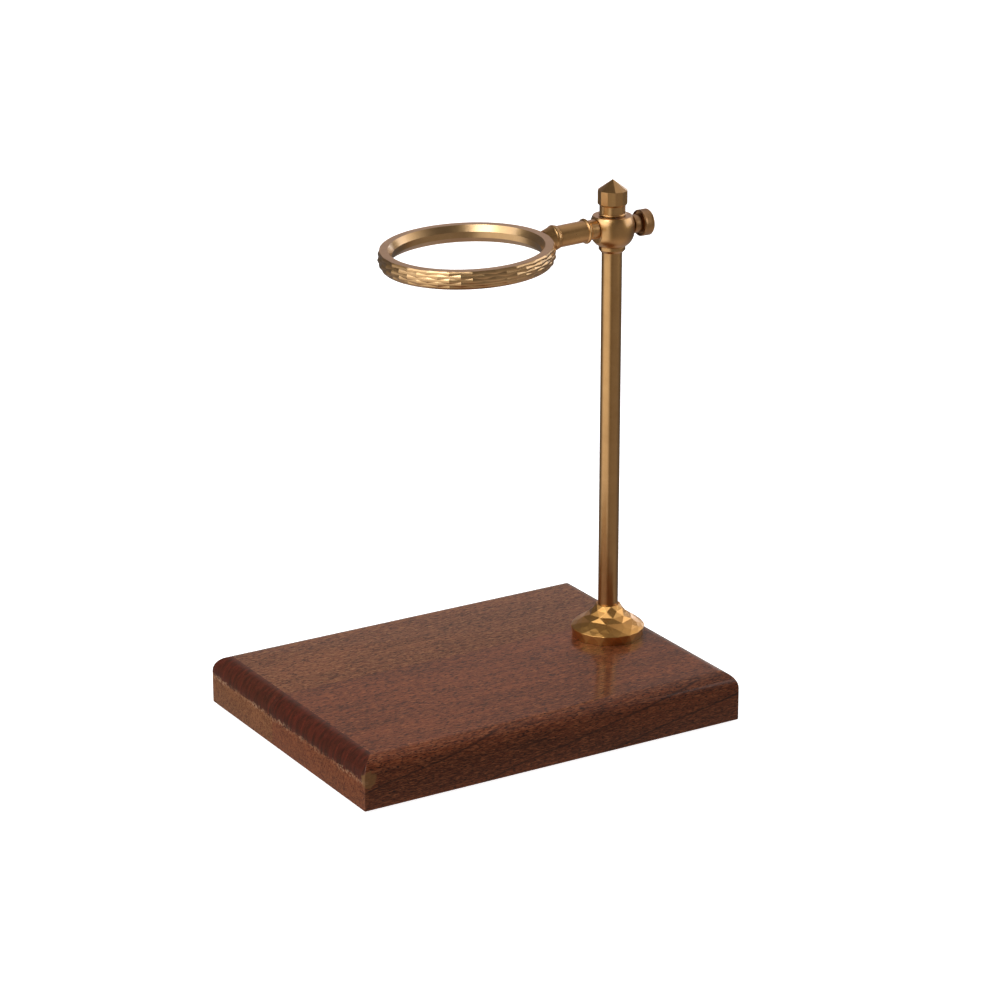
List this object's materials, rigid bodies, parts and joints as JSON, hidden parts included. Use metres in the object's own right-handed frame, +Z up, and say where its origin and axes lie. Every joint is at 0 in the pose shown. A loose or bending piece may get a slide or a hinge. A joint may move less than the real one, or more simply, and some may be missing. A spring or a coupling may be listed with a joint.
{
  "type": "adjustable ring stand",
  "caption": "Wooden base with a brass post; a brass ring on a short arm slides and swivels on the post and is clamped by a knurled thumb screw.",
  "frame": {"origin": "on the table, under the middle of the wooden base, level with the undersides of the four foot pads", "axes": "+Z up the post; +X along the base towards the post, so the arm points along -X; +Y across the base towards the lighter stave"},
  "size_m": [0.21, 0.1544, 0.2608],
  "materials": {
    "wood_front": "satin varnish over reddish brown hardwood",
    "wood_back": "satin varnish over yellowish brown hardwood",
    "rubber": "matte",
    "steel": "zinc plated, satin",
    "satin_brass": "turned, satin lacquer",
    "cut_brass": "turned, diamond-cut rim, satin lacquer",
    "polished_brass": "facets polished",
    "nylon": "natural nylon"
  },
  "bodies": {
    "base": {"base_stave_front": "wood_front", "base_stave_back": "wood_back", "foot_pad_front_left": "rubber", "foot_pad_front_right": "rubber", "foot_pad_back_left": "rubber", "foot_pad_back_right": "rubber", "base_screw": "steel", "base_washer": "steel", "foot_flange": "polished_brass", "post": "satin_brass", "finial": "satin_brass", "finial_stud": "steel"},
    "carriage": {"hub_bush": "satin_brass"},
    "ring_arm": {"hub_ball": "satin_brass", "arm_stud": "steel", "arm_rod": "satin_brass", "joint_stud": "steel", "ring_socket": "satin_brass", "ring_stud": "steel", "support_ring": "cut_brass"},
    "clamp_tip": {"thrust_pad": "nylon"},
    "clamp_knob": {"clamp_stud": "steel", "knob_head": "satin_brass"}
  },
  "joints": [
    {"name": "hub_slide", "type": "slide", "parent": "base", "child": "carriage", "axis": [0, 0, 1], "range_m": [-0.18, 0]},
    {"name": "arm_swivel", "type": "hinge", "parent": "carriage", "child": "ring_arm", "pos_m": [0.0783, 0, 0.2364], "axis": [0, 0, 1], "continuous": true},
    {"name": "screw_advance", "type": "slide", "parent": "ring_arm", "child": "clamp_tip", "axis": [1, 0, 0], "range_m": [0, 0.0017]},
    {"name": "knob_turn", "type": "hinge", "parent": "clamp_tip", "child": "clamp_knob", "pos_m": [0.0783, 0, 0.2369], "axis": [1, 0, 0], "range_deg": [0, 720]}
  ],
  "couplings": [
    {"joint": "screw_advance", "follows": "knob_turn", "m_per_rad": 0.00012732}
  ]
}
